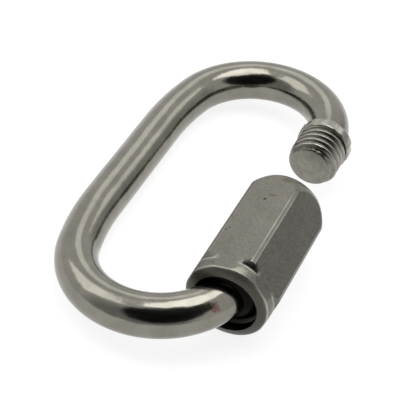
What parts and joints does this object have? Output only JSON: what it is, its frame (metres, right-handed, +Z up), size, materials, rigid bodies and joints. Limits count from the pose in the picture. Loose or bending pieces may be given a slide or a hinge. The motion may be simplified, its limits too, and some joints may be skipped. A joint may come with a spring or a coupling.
{
  "type": "chain quick link",
  "caption": "Oval steel quick link, open on one long side, with a hexagonal sleeve nut that screws across the opening.",
  "frame": {"origin": "middle of the link's outline, on the ground that it lies on", "axes": "+Y along the nut's axis and the long way of the eye, from the nut towards the bare end; +Z up, away from the ground; +X across the eye, from the plain side to the threaded side"},
  "size_m": [0.0436, 0.0816, 0.0169],
  "materials": {
    "polished_rod": "polished",
    "satin_nut": "satin"
  },
  "bodies": {
    "link": {"link_body": "polished_rod"},
    "nut": {"sleeve_nut": "satin_nut"}
  },
  "joints": [
    {"name": "nut_travel", "type": "slide", "parent": "link", "child": "nut", "axis": [0, 1, 0], "range_m": [0, 0.0195]}
  ]
}
